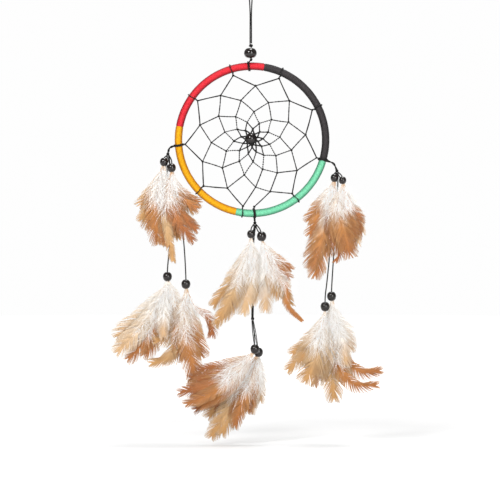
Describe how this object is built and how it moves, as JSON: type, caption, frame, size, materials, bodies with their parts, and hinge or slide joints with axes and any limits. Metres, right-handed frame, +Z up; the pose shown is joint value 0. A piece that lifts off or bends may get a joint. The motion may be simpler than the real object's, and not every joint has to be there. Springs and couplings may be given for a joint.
{
  "type": "dream catcher",
  "caption": "Round hoop wound in coloured thread, with a knotted web and bead, a cord to hang it by, and beaded feather drops.",
  "frame": {"origin": "top of the hanging loop, where the nail or hook carries it", "axes": "+Z up, +X to the right seen from the front, and the front faces -Y"},
  "size_m": [0.203, 0.0189, 0.349],
  "materials": {
    "steel": "plain wire ring, hidden",
    "red_thread": "satin wound thread",
    "yellow_thread": "satin wound thread",
    "green_thread": "satin wound thread",
    "black_thread": "satin wound thread",
    "waxed_cord": "waxed, slight sheen",
    "dark_bead": "lacquered, glossy",
    "feather": "down and vanes, soft"
  },
  "bodies": {
    "hanging_loop": {"hang_cord": "waxed_cord", "hang_top_knot": "waxed_cord"},
    "hanger_bead": {"hang_bead": "dark_bead", "bead_cord": "waxed_cord"},
    "hitch": {"hoop_hitch": "waxed_cord"},
    "hoop": {"hoop_core": "steel", "wrap_red": "red_thread", "wrap_yellow": "yellow_thread", "wrap_green": "green_thread", "wrap_black": "black_thread", "web_thread": "waxed_cord", "web_bead": "dark_bead"},
    "left_tie": {"left_tie": "waxed_cord"},
    "left_upper": {"left_knot": "waxed_cord", "left_upper_strand_1": "waxed_cord", "left_upper_bead_1": "dark_bead", "left_upper_tuft_1": "feather", "left_upper_strand_2": "waxed_cord", "left_upper_bead_2": "dark_bead", "left_upper_tuft_2": "feather"},
    "left_lower_1": {"left_lower_strand_1": "waxed_cord", "left_lower_bead_1": "dark_bead", "left_lower_tuft_1": "feather"},
    "left_lower_2": {"left_lower_strand_2": "waxed_cord", "left_lower_bead_2": "dark_bead", "left_lower_tuft_2": "feather"},
    "centre_tie": {"centre_tie": "waxed_cord", "centre_knot": "waxed_cord"},
    "centre_upper": {"centre_upper_strand_1": "waxed_cord", "centre_upper_bead_1": "dark_bead", "centre_upper_tuft_1": "feather", "centre_upper_strand_2": "waxed_cord", "centre_upper_bead_2": "dark_bead", "centre_upper_tuft_2": "feather"},
    "centre_pair": {"centre_pair_cord": "waxed_cord", "centre_split_knot": "waxed_cord"},
    "centre_lower_1": {"centre_lower_strand_1": "waxed_cord", "centre_lower_bead_1": "dark_bead", "centre_lower_tuft_1": "feather"},
    "centre_lower_2": {"centre_lower_strand_2": "waxed_cord", "centre_lower_bead_2": "dark_bead", "centre_lower_tuft_2": "feather"},
    "right_tie": {"right_tie": "waxed_cord"},
    "right_upper": {"right_knot": "waxed_cord", "right_upper_strand_1": "waxed_cord", "right_upper_bead_1": "dark_bead", "right_upper_tuft_1": "feather", "right_upper_strand_2": "waxed_cord", "right_upper_bead_2": "dark_bead", "right_upper_tuft_2": "feather"},
    "right_lower_1": {"right_lower_strand_1": "waxed_cord", "right_lower_bead_1": "dark_bead", "right_lower_tuft_1": "feather"},
    "right_lower_2": {"right_lower_strand_2": "waxed_cord", "right_lower_bead_2": "dark_bead", "right_lower_tuft_2": "feather"}
  },
  "joints": [
    {"name": "cord_twist", "type": "hinge", "parent": "hanging_loop", "child": "hanger_bead", "pos_m": [-0.0001, 0, -0.0489], "axis": [0, 0, 1], "range_deg": [-180, 180]},
    {"name": "side_swing", "type": "hinge", "parent": "hanger_bead", "child": "hitch", "pos_m": [0.0005, 0, -0.058], "axis": [0, 1, 0], "range_deg": [-25, 25]},
    {"name": "hoop_tilt", "type": "hinge", "parent": "hitch", "child": "hoop", "pos_m": [-0.0012, 0, -0.0631], "axis": [1, 0, 0], "range_deg": [-60, 60]},
    {"name": "left_side_swing", "type": "hinge", "parent": "hoop", "child": "left_tie", "pos_m": [-0.0604, 0, -0.1245], "axis": [0, 1, 0], "range_deg": [0, 35]},
    {"name": "left_drop_swing", "type": "hinge", "parent": "left_tie", "child": "left_upper", "pos_m": [-0.0639, 0, -0.1312], "axis": [1, 0, 0], "range_deg": [-60, 60]},
    {"name": "left_lower_1_swing", "type": "hinge", "parent": "left_upper", "child": "left_lower_1", "pos_m": [-0.0639, 0, -0.1312], "axis": [1, 0, 0], "range_deg": [0, 45]},
    {"name": "left_lower_2_swing", "type": "hinge", "parent": "left_upper", "child": "left_lower_2", "pos_m": [-0.0639, 0, -0.1312], "axis": [1, 0, 0], "range_deg": [0, 45]},
    {"name": "centre_drop_swing", "type": "hinge", "parent": "hoop", "child": "centre_tie", "pos_m": [0.003, 0, -0.1769], "axis": [1, 0, 0], "range_deg": [-60, 60]},
    {"name": "centre_upper_swing", "type": "hinge", "parent": "centre_tie", "child": "centre_upper", "pos_m": [0.0034, 0, -0.1844], "axis": [1, 0, 0], "range_deg": [-45, 0]},
    {"name": "centre_pair_swing", "type": "hinge", "parent": "centre_tie", "child": "centre_pair", "pos_m": [0.0034, 0, -0.1844], "axis": [1, 0, 0], "range_deg": [0, 25]},
    {"name": "centre_lower_1_swing", "type": "hinge", "parent": "centre_pair", "child": "centre_lower_1", "pos_m": [0.0015, 0.0012, -0.2598], "axis": [1, 0, 0], "range_deg": [-15, 0]},
    {"name": "centre_lower_2_swing", "type": "hinge", "parent": "centre_pair", "child": "centre_lower_2", "pos_m": [0.0015, 0.0028, -0.2598], "axis": [1, 0, 0], "range_deg": [0, 30]},
    {"name": "right_side_swing", "type": "hinge", "parent": "hoop", "child": "right_tie", "pos_m": [0.0607, 0, -0.1366], "axis": [0, -1, 0], "range_deg": [0, 35]},
    {"name": "right_drop_swing", "type": "hinge", "parent": "right_tie", "child": "right_upper", "pos_m": [0.0669, 0, -0.1441], "axis": [1, 0, 0], "range_deg": [-60, 60]},
    {"name": "right_lower_1_swing", "type": "hinge", "parent": "right_upper", "child": "right_lower_1", "pos_m": [0.0669, 0, -0.1441], "axis": [1, 0, 0], "range_deg": [0, 45]},
    {"name": "right_lower_2_swing", "type": "hinge", "parent": "right_upper", "child": "right_lower_2", "pos_m": [0.0669, 0, -0.1441], "axis": [1, 0, 0], "range_deg": [0, 45]}
  ]
}
